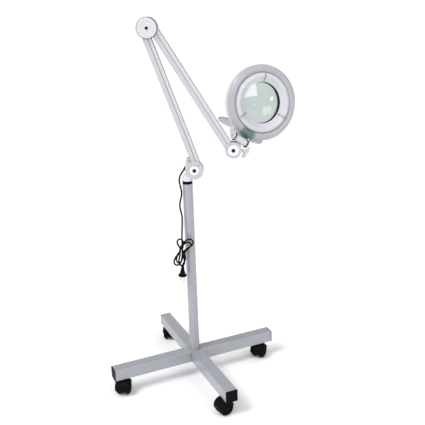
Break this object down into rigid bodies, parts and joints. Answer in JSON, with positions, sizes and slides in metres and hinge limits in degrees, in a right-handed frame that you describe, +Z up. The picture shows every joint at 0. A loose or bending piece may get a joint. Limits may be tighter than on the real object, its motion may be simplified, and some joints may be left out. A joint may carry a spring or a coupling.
{
  "type": "magnifying floor lamp",
  "caption": "Floor-standing lit magnifier: round lens head on a two-stage parallel arm, swivelling on a post with a wheeled cross base.",
  "frame": {"origin": "on the axis of the post, at floor level", "axes": "+Z up; the arm swings in the XZ plane with the lens on +X; the user stands on -Y"},
  "size_m": [0.6072, 0.5322, 1.1593],
  "materials": {
    "base_grey": "satin powder coat",
    "arm_white": "satin white paint",
    "black_plastic": "matte",
    "tyre_black": "matte",
    "steel": "zinc plated",
    "black_steel": "black oxide",
    "head_plastic": "fine texture",
    "cover_plastic": "translucent",
    "teal_cover": "translucent",
    "ring_plastic": "gloss",
    "lens_glass": "clear",
    "lamp_glass": "opal",
    "gasket": "matte",
    "spring_steel": "oiled",
    "cord_pvc": "matte",
    "plug_brass": "nickel plated",
    "knob_white": "gloss"
  },
  "bodies": {
    "stand": {"base_cross_tube": "base_grey", "base_side_tubes": "base_grey", "end_caps": "black_plastic", "post_tube": "base_grey", "post_foot_bolt": "steel", "post_bush": "black_plastic", "caster_stems": "steel"},
    "swivel_bracket": {"bracket_neck": "arm_white", "bracket_plates": "arm_white", "bracket_bolt": "black_steel", "bracket_washers": "arm_white", "bracket_pins": "steel", "cord_grommet": "black_plastic", "mains_lead": "cord_pvc", "lead_hank": "cord_pvc", "power_plug": "black_plastic", "plug_pins": "plug_brass"},
    "lower_arm": {"lower_arm_outer": "arm_white", "lower_springs": "spring_steel"},
    "lower_link": {"lower_arm_inner": "arm_white"},
    "elbow": {"elbow_plates": "arm_white", "elbow_gaskets": "gasket", "elbow_covers": "arm_white", "elbow_bolt": "black_steel", "elbow_pins": "steel"},
    "upper_arm": {"upper_arm_outer": "arm_white", "upper_springs": "spring_steel"},
    "upper_link": {"upper_arm_inner": "arm_white"},
    "knuckle": {"knuckle_plates": "arm_white", "knuckle_bolt": "black_steel", "knuckle_washers": "arm_white", "knuckle_pins": "steel", "swivel_socket": "arm_white"},
    "knob": {"clamp_knob": "knob_white"},
    "tee": {"swivel_tee": "arm_white"},
    "head": {"head_shell": "head_plastic", "neck_bracket": "arm_white", "friction_washers": "gasket", "tilt_bolt": "steel", "lens": "lens_glass", "lens_gasket": "gasket", "lens_ring": "ring_plastic", "lens_clips": "ring_plastic", "circline_lamp": "lamp_glass", "tube_cradles": "ring_plastic", "ballast": "black_steel", "front_cover": "cover_plastic", "terminal_cover": "teal_cover", "dust_cover_hinge": "head_plastic", "switch_bezel": "black_plastic"},
    "lens_lid": {"dust_cover": "head_plastic"},
    "switch": {"switch_rocker": "black_plastic"},
    "caster_right": {"caster_hood_right": "black_plastic"},
    "wheels_right": {"caster_wheels_right": "tyre_black"},
    "caster_back": {"caster_hood_back": "black_plastic"},
    "wheels_back": {"caster_wheels_back": "tyre_black"},
    "caster_left": {"caster_hood_left": "black_plastic"},
    "wheels_left": {"caster_wheels_left": "tyre_black"},
    "caster_front": {"caster_hood_front": "black_plastic"},
    "wheels_front": {"caster_wheels_front": "tyre_black"}
  },
  "joints": [
    {"name": "caster_turn_right", "type": "hinge", "parent": "stand", "child": "caster_right", "pos_m": [0.22658, 0.10565, 0.04], "axis": [0, 0, 1], "continuous": true},
    {"name": "wheel_roll_right", "type": "hinge", "parent": "caster_right", "child": "wheels_right", "pos_m": [0.22058, 0.09526, 0.023], "axis": [0.866, -0.5, 0], "continuous": true},
    {"name": "caster_turn_back", "type": "hinge", "parent": "stand", "child": "caster_back", "pos_m": [-0.10565, 0.22658, 0.04], "axis": [0, 0, 1], "continuous": true},
    {"name": "wheel_roll_back", "type": "hinge", "parent": "caster_back", "child": "wheels_back", "pos_m": [-0.10565, 0.23858, 0.023], "axis": [-1, 0, 0], "continuous": true},
    {"name": "caster_turn_left", "type": "hinge", "parent": "stand", "child": "caster_left", "pos_m": [-0.22658, -0.10565, 0.04], "axis": [0, 0, 1], "continuous": true},
    {"name": "wheel_roll_left", "type": "hinge", "parent": "caster_left", "child": "wheels_left", "pos_m": [-0.22762, -0.11761, 0.023], "axis": [0.9962, -0.0872, 0], "continuous": true},
    {"name": "caster_turn_front", "type": "hinge", "parent": "stand", "child": "caster_front", "pos_m": [0.10565, -0.22658, 0.04], "axis": [0, 0, 1], "continuous": true},
    {"name": "wheel_roll_front", "type": "hinge", "parent": "caster_front", "child": "wheels_front", "pos_m": [0.09526, -0.23258, 0.023], "axis": [0.5, -0.866, 0], "continuous": true},
    {"name": "post_swivel", "type": "hinge", "parent": "stand", "child": "swivel_bracket", "pos_m": [0, 0, 0.67], "axis": [0, 0, 1], "continuous": true},
    {"name": "lower_arm_lift", "type": "hinge", "parent": "swivel_bracket", "child": "lower_arm", "pos_m": [0.0257, 0, 0.722], "axis": [0, 1, 0], "range_deg": [-2, 57], "deforming": ["lower_springs"]},
    {"name": "lower_link_follow", "type": "hinge", "parent": "swivel_bracket", "child": "lower_link", "pos_m": [0.038, 0, 0.722], "axis": [0, 1, 0], "range_deg": [-2, 57]},
    {"name": "elbow_level", "type": "hinge", "parent": "lower_arm", "child": "elbow", "pos_m": [-0.10909, 0, 1.11345], "axis": [0, 1, 0], "range_deg": [-57, 2]},
    {"name": "upper_arm_lift", "type": "hinge", "parent": "elbow", "child": "upper_arm", "pos_m": [-0.0843, 0, 1.1224], "axis": [0, -1, 0], "range_deg": [-6, 63], "deforming": ["upper_springs"]},
    {"name": "upper_link_follow", "type": "hinge", "parent": "elbow", "child": "upper_link", "pos_m": [-0.07556, 0, 1.13282], "axis": [0, -1, 0], "range_deg": [-6, 63]},
    {"name": "knuckle_level", "type": "hinge", "parent": "upper_arm", "child": "knuckle", "pos_m": [0.12687, 0, 0.77096], "axis": [0, -1, 0], "range_deg": [-63, 6]},
    {"name": "clamp_knob_turn", "type": "hinge", "parent": "knuckle", "child": "knob", "pos_m": [0.17852, 0, 0.75838], "axis": [0.7955, 0, -0.606], "range_deg": [-180, 0]},
    {"name": "head_swivel", "type": "hinge", "parent": "knuckle", "child": "tee", "pos_m": [0.16507, 0, 0.79452], "axis": [0.606, 0, 0.7955], "range_deg": [-35, 30]},
    {"name": "head_tilt", "type": "hinge", "parent": "tee", "child": "head", "pos_m": [0.16507, 0, 0.79452], "axis": [0.7661, 0.2687, -0.5839], "range_deg": [-8, 40]},
    {"name": "dust_cover_lid", "type": "hinge", "parent": "head", "child": "lens_lid", "pos_m": [0.19296, 0.06854, 0.82694], "axis": [0.8314, 0.3137, -0.4587], "range_deg": [-10, 93]},
    {"name": "lamp_switch", "type": "hinge", "parent": "head", "child": "switch", "pos_m": [0.2162, 0.06699, 0.79532], "axis": [0.4986, 0.3249, 0.8037], "range_deg": [-13, 0]}
  ],
  "couplings": [
    {"joint": "lower_link_follow", "follows": "lower_arm_lift", "ratio": 1},
    {"joint": "elbow_level", "follows": "lower_arm_lift", "ratio": -1},
    {"joint": "upper_link_follow", "follows": "upper_arm_lift", "ratio": 1},
    {"joint": "knuckle_level", "follows": "upper_arm_lift", "ratio": -1}
  ]
}
